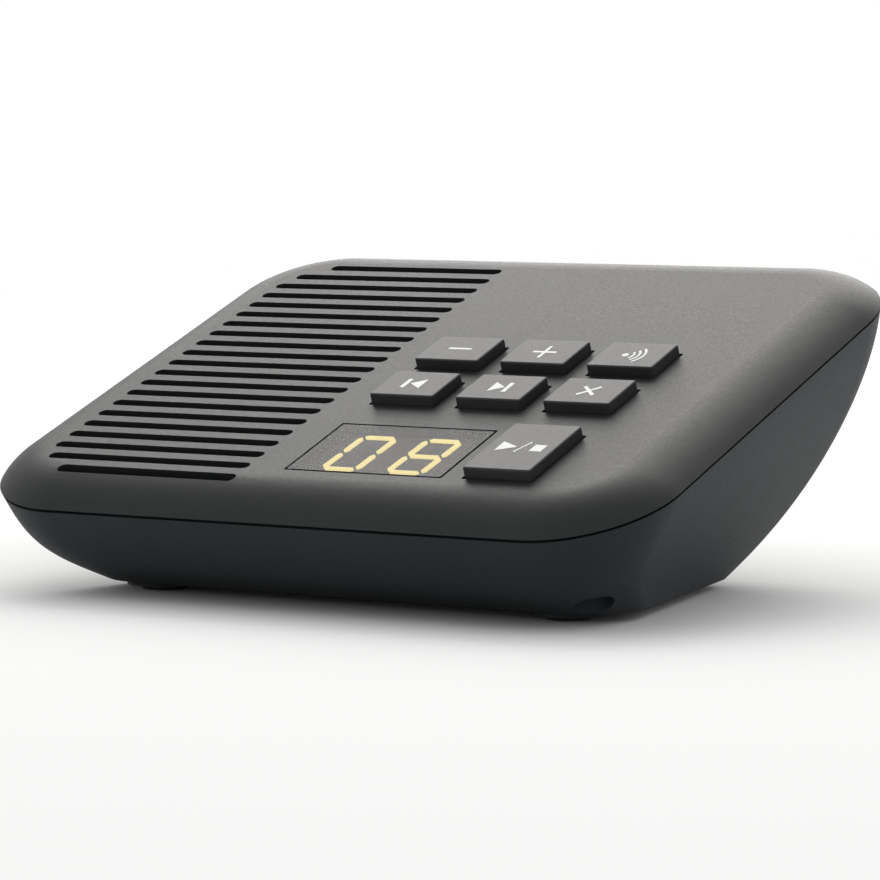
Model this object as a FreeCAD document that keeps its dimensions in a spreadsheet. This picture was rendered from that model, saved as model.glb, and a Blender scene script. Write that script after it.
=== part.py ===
import FreeCAD, Part
import math
import os
import Sketcher
from FreeCAD import Placement, Rotation, Vector

# Driving sizes, in millimetres and degrees
SIZES = {
    # Housing
    "tilt": 21.0,
    "deck_height": 38.5,
    "deck_forward": 1.46,
    "shell_width": 133.1,
    "shell_depth": 107.2,
    "shell_corner": 19.5,
    "shell_wall": 2.0,
    "deck_wall": 2.2,
    "parting_depth": 4.3,
    "edge_roll": 9.4,
    "seam_gap": 0.5,
    "seam_step": 1.0,
    "lip_clearance": 0.15,
    "lip_thick": 1.5,
    "lip_reach": 2.0,
    "lip_root": 0.8,
    "base_height": 1.6,
    "base_front": 33.3,
    "base_rear": 32.5,
    "base_half_front": 55.9,
    "base_half_rear": 39.2,
    "base_corner_front": 10.6,
    "base_corner_rear": 9.0,
    "base_floor": 2.0,
    "bowl_power_front": 3.5,
    "bowl_power_side": 1.15,
    "bowl_power_rear": 2.1,
    # Grille
    "slot_count": 21,
    "slot_pitch": 4.38,
    "slot_width": 2.25,
    "grille_left": -55.6,
    "grille_right": -11.45,
    "grille_middle": -1.9,
    "grille_corner": 12.0,
    # Keys
    "key_width": 12.8,
    "key_depth": 9.6,
    "play_depth": 17.2,
    "key_pitch": 17.3,
    "row_pitch": 14.8,
    "key_column": 3.0,
    "key_row": 4.2,
    "play_row": -32.8,
    "key_rise": 1.9,
    "key_corner": 0.4,
    "key_edge": 0.3,
    "key_gap": 0.4,
    "opening_corner": 0.35,
    "key_rim": 1.0,
    "rim_thick": 1.0,
    "rim_corner": 1.7,
    "rim_clearance": 0.3,
    "key_shell": 1.2,
    "key_travel": 0.7,
    "stem_radius": 2.0,
    "stem_length": 1.0,
    # Switches and key board
    "switch_size": 6.0,
    "switch_tall": 3.6,
    "plunger_radius": 1.7,
    "plunger_out": 1.1,
    "plunger_in": 1.5,
    "plunger_fit": 0.06,
    "board_thick": 1.6,
    "key_board_left": -11.4,
    "key_board_right": 50.2,
    "key_board_front": -46.5,
    "key_board_rear": 15.0,
    "board_corner": 2.0,
    "post_radius": 2.4,
    "post_inset": 3.2,
    "pilot_radius": 1.0,
    "screw_radius": 0.95,
    "screw_hole": 1.2,
    "screw_head": 2.0,
    "screw_head_tall": 1.3,
    "screw_bite": 4.0,
    # Display
    "window_width": 30.3,
    "window_depth": 17.7,
    "window_column": 11.5,
    "window_row": -32.7,
    "window_gap": 0.45,
    "window_corner": 0.3,
    "window_flange": 1.2,
    "flange_thick": 0.8,
    "lens_skin": 0.7,
    "lens_wall": 1.0,
    "lens_gap": 0.3,
    "module_gap": 0.1,
    "digit_pitch": 12.9,
    "digit_width": 6.6,
    "digit_tall": 12.2,
    "digit_slant": 2.2,
    "segment_wide": 1.0,
    "segment_gap": 0.35,
    "segment_thick": 0.3,
    # Speaker
    "speaker_column": -35.8,
    "speaker_row": 0.0,
    "speaker_radius": 18.0,
    "speaker_flange": 1.2,
    "basket_depth": 8.0,
    "basket_wall": 1.0,
    "basket_bottom": 10.0,
    "magnet_radius": 12.0,
    "magnet_tall": 5.5,
    "cloth_thick": 0.4,
    "cloth_gap": 0.6,
    "cloth_margin": 0.2,
    "cloth_left": 0.6,
    "cloth_right": 0.35,
    "gasket_thick": 1.0,
    "gasket_width": 1.8,
    "retainer_thick": 1.6,
    "ear_radius": 3.4,
    "ear_reach": 21.6,
    "cone_thick": 0.4,
    # Main board
    "board_left": -40.0,
    "board_right": 1.8,
    "board_front": -18.0,
    "board_rear": 18.8,
    "tower_clear": 0.5,
    "stand_height": 1.4,
    "stand_radius": 2.8,
    "shield_long": 18.0,
    "shield_wide": 11.5,
    "shield_tall": 3.2,
    "antenna_thick": 0.5,
    "antenna_long": 11.0,
    "antenna_rise": 6.0,
    "antenna_wide": 2.0,
    "ribbon_thick": 0.7,
    "ribbon_wide": 5.0,
    # Connector well, duct and outlet
    "well_left": 4.0,
    "well_right": 28.0,
    "well_front": -12.0,
    "well_rear": 16.0,
    "well_top": 19.0,
    "well_wall": 1.8,
    "socket_wide": 13.0,
    "socket_tall": 12.0,
    "socket_long": 13.8,
    "line_row": -5.4,
    "power_row": 8.0,
    "plug_wide": 9.9,
    "plug_tall": 6.9,
    "plug_long": 11.0,
    "barrel_radius": 4.6,
    "pin_radius": 0.9,
    "duct_width": 7.0,
    "duct_top": 9.0,
    "duct_bridge": 5.0,
    "trench_long": 60.0,
    "outlet_radius": 3.25,
    "outlet_column": 51.4,
    "outlet_row": -34.5,
    # Feet and closing screws
    "foot_radius": 4.2,
    "foot_fit": 0.12,
    "foot_sink": 1.0,
    "boss_radius": 6.5,
    "boss_out": 0.8,
    "foot_column_front": 41.2,
    "foot_row_front": -25.6,
    "foot_column_rear": 31.0,
    "foot_row_rear": 22.6,
    "well_radius": 3.1,
    "well_seat": 8.0,
    "tower_radius": 4.6,
    "tower_joint": 22.0,
    "closing_radius": 1.4,
    "closing_clear": 1.6,
    "closing_pilot": 1.45,
    "closing_bite": 10.0,
    "closing_head": 2.8,
    "closing_head_tall": 2.2,
}

doc = FreeCAD.newDocument("answering_machine")
sheet = doc.addObject("Spreadsheet::Sheet", "size")
for row, (alias, value) in enumerate(SIZES.items(), start=1):
    sheet.set("A%d" % row, alias)
    sheet.set("B%d" % row, str(value))
    sheet.setAlias("B%d" % row, alias)
doc.recompute()


class Sheet:
    """Reads a driving size from the sheet by its alias."""

    def __getattr__(self, alias):
        return float(sheet.get(alias))


S = Sheet()
NODES = {}


def number(expression):
    result = sheet.evalExpression(expression)
    return float(getattr(result, "Value", result))


def bind(thing, **expressions):
    for prop, expression in expressions.items():
        thing.setExpression(prop, expression)
    return thing


def keep(node, thing):
    thing.Label = node
    NODES[node] = thing
    return thing


# Frames: the deck is the sloping top plane, its Z axis is the way the keys are pressed
SIN = math.sin(math.radians(S.tilt))
COS = math.cos(math.radians(S.tilt))
DECK_ROW = -S.deck_forward - S.parting_depth * SIN
DECK = Placement(Vector(0, DECK_ROW, S.deck_height), Rotation(Vector(1, 0, 0), S.tilt))


def world(x=0.0, y=0.0, z=0.0):
    return Placement(Vector(x, y, z), Rotation())


def on_deck(column=0.0, row=0.0, lift=0.0):
    return DECK * world(column, row, lift)


# Primitives and booleans
def box(name, length, width, height, place):
    thing = doc.addObject("Part::Box", name)
    bind(thing, Length=length, Width=width, Height=height)
    thing.Placement = place
    return thing


def cylinder(name, radius, height, place):
    thing = doc.addObject("Part::Cylinder", name)
    bind(thing, Radius=radius, Height=height)
    thing.Placement = place
    return thing


def cut(name, base, tool):
    thing = doc.addObject("Part::Cut", name)
    thing.Base = base
    thing.Tool = tool
    return thing


def common(name, base, tool):
    thing = doc.addObject("Part::Common", name)
    thing.Base = base
    thing.Tool = tool
    return thing


def fuse(name, things):
    thing = doc.addObject("Part::MultiFuse", name)
    thing.Shapes = things
    return thing


def group(name, things):
    thing = doc.addObject("Part::Compound", name)
    thing.Links = things
    return thing


# Bodies, sketches and features
def new_body(name, place):
    body = doc.addObject("PartDesign::Body", name)
    body.Placement = place
    return body


def sketch_on(body, name, lift="0", role="XY_Plane"):
    plane = next(item for item in body.Origin.OriginFeatures if item.Role == role)
    sketch = body.newObject("Sketcher::SketchObject", name)
    sketch.AttachmentSupport = [(plane, "")]
    sketch.MapMode = "FlatFace"
    sketch.setExpression(".AttachmentOffset.Base.z", lift)
    return sketch


def rounded_outline(corners):
    """Lines and tangent arcs round a polygon given as (x, y, radius), counter-clockwise."""
    ends = []
    for index, (x, y, radius) in enumerate(corners):
        here = Vector(x, y, 0)
        before = Vector(*corners[index - 1][:2], 0)
        after = Vector(*corners[(index + 1) % len(corners)][:2], 0)
        back = (before - here).normalize()
        ahead = (after - here).normalize()
        half = back.getAngle(ahead) / 2
        reach = radius / math.tan(half)
        bisector = (back + ahead).normalize()
        middle = here + bisector * (radius / math.sin(half) - radius)
        ends.append((here + back * reach, middle, here + ahead * reach))
    edges = []
    for index, (start, middle, end) in enumerate(ends):
        edges.append(Part.Arc(start, middle, end))
        edges.append(Part.LineSegment(end, ends[(index + 1) % len(ends)][0]))
    return edges


def rectangle(left, right, front, rear, corner):
    return rounded_outline([
        (left, front, corner), (right, front, corner), (right, rear, corner), (left, rear, corner),
    ])


def bound_rectangle(sketch, wide, deep, corner):
    """A rounded rectangle about the sketch's origin, its sizes bound to the sheet."""
    half_wide, half_deep, radius = number(wide) / 2, number(deep) / 2, number(corner)
    ids = sketch.addGeometry(rectangle(-half_wide, half_wide, -half_deep, half_deep, radius), False)
    arcs, lines = ids[0::2], ids[1::2]
    rules = []
    for index in range(4):
        rules.append(Sketcher.Constraint("Tangent", arcs[index], 2, lines[index], 1))
        rules.append(Sketcher.Constraint("Tangent", lines[index], 2, arcs[(index + 1) % 4], 1))
        rules.append(Sketcher.Constraint("Vertical" if index % 2 else "Horizontal", lines[index]))
    for index in range(3):
        rules.append(Sketcher.Constraint("Equal", arcs[index], arcs[index + 1]))
    rules.append(Sketcher.Constraint("Symmetric", arcs[0], 3, arcs[2], 3, -1, 1))
    sketch.addConstraint(rules)
    named = {
        "wide": (Sketcher.Constraint("DistanceX", lines[3], 1, lines[1], 1, 2 * half_wide), wide),
        "deep": (Sketcher.Constraint("DistanceY", lines[0], 1, lines[2], 1, 2 * half_deep), deep),
        "corner": (Sketcher.Constraint("Radius", arcs[0], radius), corner),
    }
    for name, (rule, expression) in named.items():
        index = sketch.addConstraint(rule)
        sketch.renameConstraint(index, name)
        sketch.setExpression("Constraints." + name, expression)


def pad(body, name, sketch, length, reverse=False):
    feature = body.newObject("PartDesign::Pad", name)
    feature.Profile = sketch
    feature.Reversed = reverse
    bind(feature, Length=length)
    body.Tip = feature
    return feature


def pocket(body, name, sketch, length, reverse=False):
    feature = body.newObject("PartDesign::Pocket", name)
    feature.Profile = sketch
    feature.Reversed = reverse
    bind(feature, Length=length)
    body.Tip = feature
    return feature


def face_at(feature, height):
    """Name of the largest flat face at this height in the body's own frame."""
    best = None
    for index, face in enumerate(feature.Shape.Faces, start=1):
        flat = face.BoundBox.ZLength < 1e-4 and abs(face.BoundBox.ZMin - height) < 1e-4
        if flat and (best is None or face.Area > best[0]):
            best = (face.Area, "Face%d" % index)
    return best[1]


def round_face(body, name, feature, height, radius):
    doc.recompute()
    fillet = body.newObject("PartDesign::Fillet", name)
    fillet.Base = (feature, [face_at(feature, height)])
    bind(fillet, Radius=radius)
    body.Tip = fillet
    return fillet


def turned(name, profile, place):
    """A body of revolution about its own Z axis, from (radius, height) corner points."""
    body = new_body(name, place)
    sketch = sketch_on(body, name + "_profile", role="XZ_Plane")
    points = [Vector(radius, height, 0) for radius, height in profile]
    for index, point in enumerate(points):
        sketch.addGeometry(Part.LineSegment(point, points[(index + 1) % len(points)]), False)
    feature = body.newObject("PartDesign::Revolution", name + "_turn")
    feature.Profile = sketch
    feature.ReferenceAxis = (sketch, ["V_Axis"])
    feature.Angle = 360
    body.Tip = feature
    return body


# Upper shell: a pillow-edged plate with a skirt, grille slots, key and window openings
KEYS = {
    "minus": (0, 0), "plus": (1, 0), "paging": (2, 0),
    "previous": (0, 1), "next": (1, 1), "delete": (2, 1),
}


def key_places():
    """Each key's column, row and depth on the deck."""
    places = {}
    for name, (column, row) in KEYS.items():
        x = S.key_column + column * S.key_pitch
        y = S.key_row - row * S.row_pitch
        places[name] = (x, y, S.key_depth, "size.key_depth")
    x = S.key_column + 2 * S.key_pitch
    places["play_stop"] = (x, S.play_row, S.play_depth, "size.play_depth")
    return places


PLACES = key_places()


def slot_outline(index):
    """One grille slot with round ends, its left end on the grille field's rounded corner."""
    half_field = (S.slot_count - 1) * S.slot_pitch / 2 + S.slot_width / 2
    row = S.grille_middle + (index - (S.slot_count - 1) / 2) * S.slot_pitch
    into_corner = abs(row - S.grille_middle) - (half_field - S.grille_corner)
    inset = 0.0
    if into_corner > 0:
        inset = S.grille_corner - math.sqrt(S.grille_corner ** 2 - into_corner ** 2)
    end = S.slot_width / 2 - 0.001
    return rectangle(S.grille_left + inset, S.grille_right, row - S.slot_width / 2, row + S.slot_width / 2, end)


def board_posts():
    xs = (S.key_board_left + S.post_inset, S.key_board_right - S.post_inset)
    ys = (S.key_board_front + S.post_inset, S.key_board_rear - S.post_inset)
    return [(x, y) for x in xs for y in ys]


def ear_places():
    """The retainer's three ears, round the speaker's axis."""
    angles = (30, 150, 270)
    reach = S.ear_reach
    return [
        (S.speaker_column + reach * math.cos(math.radians(angle)),
         S.speaker_row + reach * math.sin(math.radians(angle)))
        for angle in angles
    ]


BOARD_TOP = ("size.deck_wall + size.rim_clearance + size.rim_thick + size.stem_length"
             " + size.plunger_out + size.switch_tall")
RETAINER_TOP = "size.deck_wall + size.cloth_gap + size.cloth_thick + size.gasket_thick + size.speaker_flange"


def circles(sketch, places, radius):
    for x, y in places:
        sketch.addGeometry(Part.Circle(Vector(x, y, 0), Vector(0, 0, 1), radius), False)


def rear_towers(name, radius, bottom, height):
    towers = []
    for side in (-1, 1):
        place = world(side * S.foot_column_rear, S.foot_row_rear, bottom)
        towers.append(cylinder("%s_%d" % (name, side + 1), radius, height, place))
    return towers


ROLL_RADIUS = (S.edge_roll ** 2 + S.parting_depth ** 2) / (2 * S.parting_depth)


def roll_inset(depth, wall):
    """How far the rolled edge lies inside the parting outline at this depth below the deck."""
    reach = math.sqrt((ROLL_RADIUS - wall) ** 2 - (ROLL_RADIUS - depth) ** 2)
    return S.edge_roll - reach


def outline_at(body, name, depth, inset):
    sketch = sketch_on(body, name, "-%.6f" % depth)
    half_wide, half_deep = S.shell_width / 2 - inset, S.shell_depth / 2 - inset
    edges = rectangle(-half_wide, half_wide, -half_deep, half_deep, S.shell_corner - inset)
    sketch.addGeometry(edges, False)
    return sketch


def rolled_loft(body, name, kind, wall, start):
    """A loft from the deck plane down to the parting plane along the rolled edge."""
    steps = 5
    first = math.acos(max(-1.0, min(1.0, (ROLL_RADIUS - start) / (ROLL_RADIUS - wall))))
    last = math.acos((ROLL_RADIUS - S.parting_depth) / (ROLL_RADIUS - wall))
    sections = []
    for step in range(steps + 1):
        angle = first + (last - first) * step / steps
        depth = ROLL_RADIUS - (ROLL_RADIUS - wall) * math.cos(angle)
        sections.append(outline_at(body, "%s_outline_%d" % (name, step), depth, roll_inset(depth, wall)))
    loft = body.newObject(kind, name)
    loft.Profile = sections[0]
    loft.Sections = sections[1:]
    body.Tip = loft


def lip_ring():
    """The tongue that drops inside the lower shell's rim, trimmed to clear the bowl's wall."""
    ring = new_body("lip_stock", DECK)
    outline = sketch_on(ring, "lip_outline", "-size.parting_depth - size.lip_reach")
    for inset in (S.shell_wall + S.lip_clearance, S.shell_wall + S.lip_clearance + S.lip_thick):
        half_wide, half_deep = S.shell_width / 2 - inset, S.shell_depth / 2 - inset
        outline.addGeometry(rectangle(-half_wide, half_wide, -half_deep, half_deep, S.shell_corner - inset), False)
    pad(ring, "lip_pad", outline, "size.lip_reach")
    return common("lip_ring", ring, bowl("lip_seat", S.shell_wall + S.lip_clearance))


def upper_shell():
    body = new_body("upper_moulding", DECK)
    rolled_loft(body, "upper_skin", "PartDesign::AdditiveLoft", 0.0, 0.0)
    rolled_loft(body, "upper_hollow", "PartDesign::SubtractiveLoft", S.deck_wall, S.deck_wall)
    root = sketch_on(body, "lip_root", "-size.parting_depth")
    for inset in (S.shell_wall + S.lip_clearance, S.shell_wall + S.lip_clearance + S.lip_thick):
        half_wide, half_deep = S.shell_width / 2 - inset, S.shell_depth / 2 - inset
        root.addGeometry(rectangle(-half_wide, half_wide, -half_deep, half_deep, S.shell_corner - inset), False)
    pad(body, "lip_root_pad", root, "size.lip_root")
    posts = sketch_on(body, "board_posts", "-size.deck_wall")
    circles(posts, board_posts(), S.post_radius)
    pad(body, "board_post_pads", posts, BOARD_TOP + " - size.deck_wall", reverse=True)
    ears = sketch_on(body, "ear_posts", "-size.deck_wall")
    circles(ears, ear_places(), S.post_radius)
    pad(body, "ear_post_pads", ears, RETAINER_TOP + " - size.deck_wall", reverse=True)
    openings = sketch_on(body, "deck_openings")
    for x, y, deep, _ in PLACES.values():
        half_wide, half_deep = S.key_width / 2 + S.key_gap, deep / 2 + S.key_gap
        edges = rectangle(x - half_wide, x + half_wide, y - half_deep, y + half_deep, S.opening_corner)
        openings.addGeometry(edges, False)
    half_wide, half_deep = S.window_width / 2 + S.window_gap, S.window_depth / 2 + S.window_gap
    edges = rectangle(S.window_column - half_wide, S.window_column + half_wide,
                      S.window_row - half_deep, S.window_row + half_deep, S.opening_corner)
    openings.addGeometry(edges, False)
    pocket(body, "deck_cuts", openings, "size.deck_wall * 1.2")
    slots = sketch_on(body, "grille_slots")
    for index in range(int(S.slot_count)):
        slots.addGeometry(slot_outline(index), False)
    pocket(body, "grille_cuts", slots, "size.deck_wall + 0.6")
    pilots = sketch_on(body, "post_pilots", "-(" + BOARD_TOP + ")")
    circles(pilots, board_posts(), S.pilot_radius)
    pocket(body, "post_pilot_bores", pilots, "size.screw_bite + 1", reverse=True)
    ear_pilots = sketch_on(body, "ear_pilots", "-(" + RETAINER_TOP + ")")
    circles(ear_pilots, ear_places(), S.pilot_radius)
    pocket(body, "ear_pilot_bores", ear_pilots, RETAINER_TOP + " - size.deck_wall", reverse=True)
    towers = group("upper_tower_stock", rear_towers("upper_tower", "size.closing_radius * 2.6",
                                                     S.tower_joint, "size.deck_height"))
    below = box("below_deck", "size.shell_width", "size.shell_depth", "size.deck_height * 2",
                on_deck(-S.shell_width / 2, -S.shell_depth / 2, -2 * S.deck_height - S.deck_wall))
    trimmed = common("upper_towers", towers, below)
    bores = group("upper_tower_bores", rear_towers("upper_tower_bore", "size.closing_pilot",
                                                   S.tower_joint - 1, "size.closing_bite + 2"))
    keep("upper_shell", cut("upper_shell", fuse("upper_joined", [body, lip_ring(), trimmed]), bores))


# Lower shell: a bowl lofted from the sloping parting line to the level base
FAN_ROW = (S.base_height - S.deck_height + S.parting_depth * COS) / SIN
FAN = Vector(0, FAN_ROW * COS - S.deck_forward, S.base_height)
STATIONS = (0.0, 0.2, 0.4, 0.6, 0.8, 1.0)


def bowl_section(name, share, inset):
    """One rounded section of the bowl, on a plane that fans from the parting line to the base."""
    blend = share ** S.bowl_power_side
    front_blend = share ** S.bowl_power_front
    rear_blend = share ** S.bowl_power_rear
    half_parting = S.shell_width / 2
    half_front = half_parting + (S.base_half_front - half_parting) * blend - inset
    half_rear = half_parting + (S.base_half_rear - half_parting) * blend - inset
    front_parting = -S.shell_depth / 2 - FAN_ROW
    rear_parting = S.shell_depth / 2 - FAN_ROW
    front_base = -S.base_front - FAN.y
    rear_base = S.base_rear - FAN.y
    front = front_parting + (front_base - front_parting) * front_blend + inset
    rear = rear_parting + (rear_base - rear_parting) * rear_blend - inset
    corner_front = S.shell_corner + (S.base_corner_front - S.shell_corner) * blend - inset
    corner_rear = S.shell_corner + (S.base_corner_rear - S.shell_corner) * blend - inset
    sketch = doc.addObject("Sketcher::SketchObject", name)
    sketch.addGeometry(rounded_outline([
        (-half_front, front, corner_front), (half_front, front, corner_front),
        (half_rear, rear, corner_rear), (-half_rear, rear, corner_rear),
    ]), False)
    sketch.Placement = Placement(FAN, Rotation(Vector(1, 0, 0), S.tilt * (1 - share)))
    return sketch


def bowl(name, inset):
    loft = doc.addObject("Part::Loft", name)
    loft.Sections = [bowl_section("%s_section_%d" % (name, index), share, inset)
                     for index, share in enumerate(STATIONS)]
    loft.Solid = True
    loft.Ruled = False
    return loft


def foot_places():
    return {
        "front_left": (-S.foot_column_front, S.foot_row_front),
        "front_right": (S.foot_column_front, S.foot_row_front),
        "rear_left": (-S.foot_column_rear, S.foot_row_rear),
        "rear_right": (S.foot_column_rear, S.foot_row_rear),
    }


FLOOR_TOP = S.base_height + S.base_floor


def stand_places():
    inset = S.stand_radius + 0.6
    xs = (S.board_left + inset, S.board_right - inset)
    ys = (S.board_front + inset, S.board_rear - S.screw_head)
    return [(x, y) for x in xs for y in ys]


def duct_box(name, extra, bottom, top, reach):
    """A bar along the duct from the well to the cable outlet, wider by extra on each side."""
    start = Vector(S.well_right - 2, (S.well_front + S.well_rear) / 2 - 2, 0)
    end = Vector(S.outlet_column, S.outlet_row, 0)
    along = end - start
    turn = math.degrees(math.atan2(along.y, along.x))
    bar = doc.addObject("Part::Box", name)
    bar.Length = along.Length * reach + extra
    bar.Width = S.duct_width + 2 * extra
    bar.Height = top - bottom
    local = world(0, -S.duct_width / 2 - extra, 0)
    bar.Placement = Placement(Vector(start.x, start.y, bottom), Rotation(Vector(0, 0, 1), turn)) * local
    return bar


def rear_trench(name, extra, bottom, top):
    bar = doc.addObject("Part::Box", name)
    bar.Length = S.duct_width + 2 * extra
    bar.Width = S.trench_long
    bar.Height = top - bottom
    left = (S.well_left + S.well_right - S.duct_width) / 2 - extra
    bar.Placement = world(left, S.well_rear - 1, bottom)
    return bar


def lower_shell():
    outer = bowl("bowl_outer", 0.0)
    hollow_floor = box("hollow_floor", "size.shell_width", "size.shell_depth * 2", "size.base_floor + 10",
                       world(-S.shell_width / 2, -S.shell_depth, S.base_height - 10))
    hollow = cut("bowl_hollow", bowl("bowl_inner", S.shell_wall), hollow_floor)
    skin = cut("bowl_skin", outer, hollow)
    seam = new_body("seam_ring", DECK)
    ring = sketch_on(seam, "seam_outline", "-size.parting_depth - size.seam_gap")
    for inset in (-2.0, S.seam_step):
        half_wide, half_deep = S.shell_width / 2 - inset, S.shell_depth / 2 - inset
        ring.addGeometry(rectangle(-half_wide, half_wide, -half_deep, half_deep, S.shell_corner - inset), False)
    pad(seam, "seam_pad", ring, "size.seam_gap + 1")
    wall = S.well_wall
    well_block = box("well_block", "size.well_right - size.well_left + 2 * size.well_wall",
                     "size.well_rear - size.well_front + 2 * size.well_wall",
                     "size.well_top + size.well_wall - size.base_height - 0.5",
                     world(S.well_left - wall, S.well_front - wall, S.base_height + 0.5))
    inner_parts = [
        well_block,
        duct_box("duct_cover", wall, S.base_height + 0.5, S.duct_top + wall, 1.0),
        rear_trench("trench_cover", wall, S.base_height + 0.5, S.duct_top + wall),
    ]
    inner_parts += rear_towers("lower_tower", "size.tower_radius", S.base_height + 0.5,
                               "size.tower_joint - size.base_height - 0.5")
    for index, (x, y) in enumerate(stand_places()):
        inner_parts.append(cylinder("stand_%d" % index, "size.stand_radius",
                                    "size.base_floor + size.stand_height - 0.5",
                                    world(x, y, S.base_height + 0.5)))
    outlet = world(S.outlet_column, S.outlet_row, 0)
    inner_parts.append(cylinder("outlet_collar", "size.outlet_radius + size.well_wall",
                                "size.duct_top + size.well_wall", outlet))
    inside = common("inner_ribs", fuse("rib_stock", inner_parts), outer)
    bosses = [cylinder("boss_" + name, "size.boss_radius", "size.base_height - size.boss_out + 0.5",
                       world(x, y, S.boss_out)) for name, (x, y) in foot_places().items()]
    joined = fuse("lower_joined", [cut("skin_rebated", skin, seam), inside] + bosses)
    hole_bottom = S.base_height - 1
    tools = [
        box("well_space", "size.well_right - size.well_left", "size.well_rear - size.well_front",
            "size.well_top - size.base_height + 1", world(S.well_left, S.well_front, hole_bottom)),
        duct_box("duct_trench", 0.0, hole_bottom, S.duct_top, 0.5),
        duct_box("duct_tunnel", 0.0, S.duct_bridge, S.duct_top, 1.0),
        rear_trench("trench_space", 0.0, hole_bottom, S.duct_top),
        cylinder("outlet_bore", "size.outlet_radius", "size.duct_top", outlet),
    ]
    for name, row in (("line", S.line_row), ("power", S.power_row)):
        tools.append(box("window_" + name, "size.well_wall + 2", "size.socket_wide - 2",
                         "size.socket_tall - 1.5",
                         world(S.well_left - wall - 1, row - S.socket_wide / 2 + 1, board_top() + 0.5)))
    for name, (x, y) in foot_places().items():
        tools.append(cylinder("foot_recess_" + name, "size.foot_radius + size.foot_fit",
                              "size.boss_out + size.foot_sink", world(x, y, 0)))
    tools += rear_towers("screw_well", "size.well_radius", S.base_height - 1, "size.well_seat - size.base_height + 1")
    tools += rear_towers("screw_through", "size.closing_clear", S.base_height, "size.tower_joint")
    for index, (x, y) in enumerate(stand_places()):
        tools.append(cylinder("stand_pilot_%d" % index, "size.pilot_radius", "size.base_floor + size.stand_height",
                              world(x, y, S.base_height + 0.8)))
    keep("lower_shell", cut("lower_shell", joined, fuse("lower_tools", tools)))


def board_top():
    return FLOOR_TOP + S.stand_height + S.board_thick


# Feet
def feet():
    for name, (x, y) in foot_places().items():
        radius, tall = S.foot_radius, S.boss_out + S.foot_sink
        chamfer = 0.4
        profile = [(0, 0), (radius - chamfer, 0), (radius, chamfer), (radius, tall), (0, tall)]
        keep("foot_" + name, turned("foot_" + name, profile, world(x, y, 0)))


# Display: flush hollow window, with the module and its lit digit segments close under its skin
def display():
    body = new_body("display_window", on_deck(S.window_column, S.window_row))
    below = "size.deck_wall + size.flange_thick"
    lens = sketch_on(body, "window_outline", "-(" + below + ")")
    bound_rectangle(lens, "size.window_width", "size.window_depth", "size.window_corner")
    pad(body, "window_lens", lens, below)
    flange = sketch_on(body, "flange_outline", "-(" + below + ")")
    bound_rectangle(flange, "size.window_width + 2 * size.window_flange",
                    "size.window_depth + 2 * size.window_flange", "size.window_corner + size.window_flange")
    pad(body, "window_flange_pad", flange, "size.flange_thick")
    hollow = sketch_on(body, "lens_hollow", "-(" + below + ")")
    bound_rectangle(hollow, "size.window_width - 2 * size.lens_wall",
                    "size.window_depth - 2 * size.lens_wall", "size.window_corner")
    pocket(body, "lens_hollow_pocket", hollow, below + " - size.lens_skin", reverse=True)
    keep("display_window", body)
    module = new_body("display_module", on_deck(S.window_column, S.window_row, -number(BOARD_TOP)))
    outline = sketch_on(module, "module_outline")
    bound_rectangle(outline, "size.window_width - 2 * (size.lens_wall + size.lens_gap)",
                    "size.window_depth - 2 * (size.lens_wall + size.lens_gap)", "size.window_corner")
    face = "size.lens_skin + size.module_gap + size.segment_thick"
    pad(module, "module_pad", outline, BOARD_TOP + " - (" + face + ")")
    keep("display_module", module)
    bars = []
    for index, lit in enumerate(("ABCDEF", "ABCDEFG")):
        column = S.window_column + (index - 0.5) * S.digit_pitch
        bars += digit("digit_%d" % index, lit, column, -number(face))
    keep("digit_segments", group("digit_segments", bars))


def digit(name, lit, column, lift):
    """The lit bars of one seven-segment digit, mitred and leaning a little to the right."""
    half_wide, half_tall = S.digit_width / 2, S.digit_tall / 2
    corners = {
        "A": ((-half_wide, half_tall), (half_wide, half_tall)),
        "B": ((half_wide, half_tall), (half_wide, 0)),
        "C": ((half_wide, 0), (half_wide, -half_tall)),
        "D": ((-half_wide, -half_tall), (half_wide, -half_tall)),
        "E": ((-half_wide, 0), (-half_wide, -half_tall)),
        "F": ((-half_wide, half_tall), (-half_wide, 0)),
        "G": ((-half_wide, 0), (half_wide, 0)),
    }
    bars = []
    for letter in lit:
        (x0, y0), (x1, y1) = corners[letter]
        start, end = Vector(x0, y0, 0), Vector(x1, y1, 0)
        along = (end - start).normalize()
        side = Vector(-along.y, along.x, 0) * (S.segment_wide / 2)
        start, end = start + along * S.segment_gap, end - along * S.segment_gap
        tip = along * (S.segment_wide / 2)
        points = [start, start + tip + side, end - tip + side, end, end - tip - side, start + tip - side]
        lean = math.tan(math.radians(S.digit_slant))
        points = [Vector(point.x + lean * point.y, point.y, 0) for point in points]
        body = new_body("%s_%s" % (name, letter), on_deck(column, S.window_row, lift))
        sketch = sketch_on(body, "%s_%s_outline" % (name, letter))
        for index, point in enumerate(points):
            sketch.addGeometry(Part.LineSegment(point, points[(index + 1) % len(points)]), False)
        pad(body, "%s_%s_pad" % (name, letter), sketch, "size.segment_thick")
        bars.append(body)
    return bars


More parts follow.
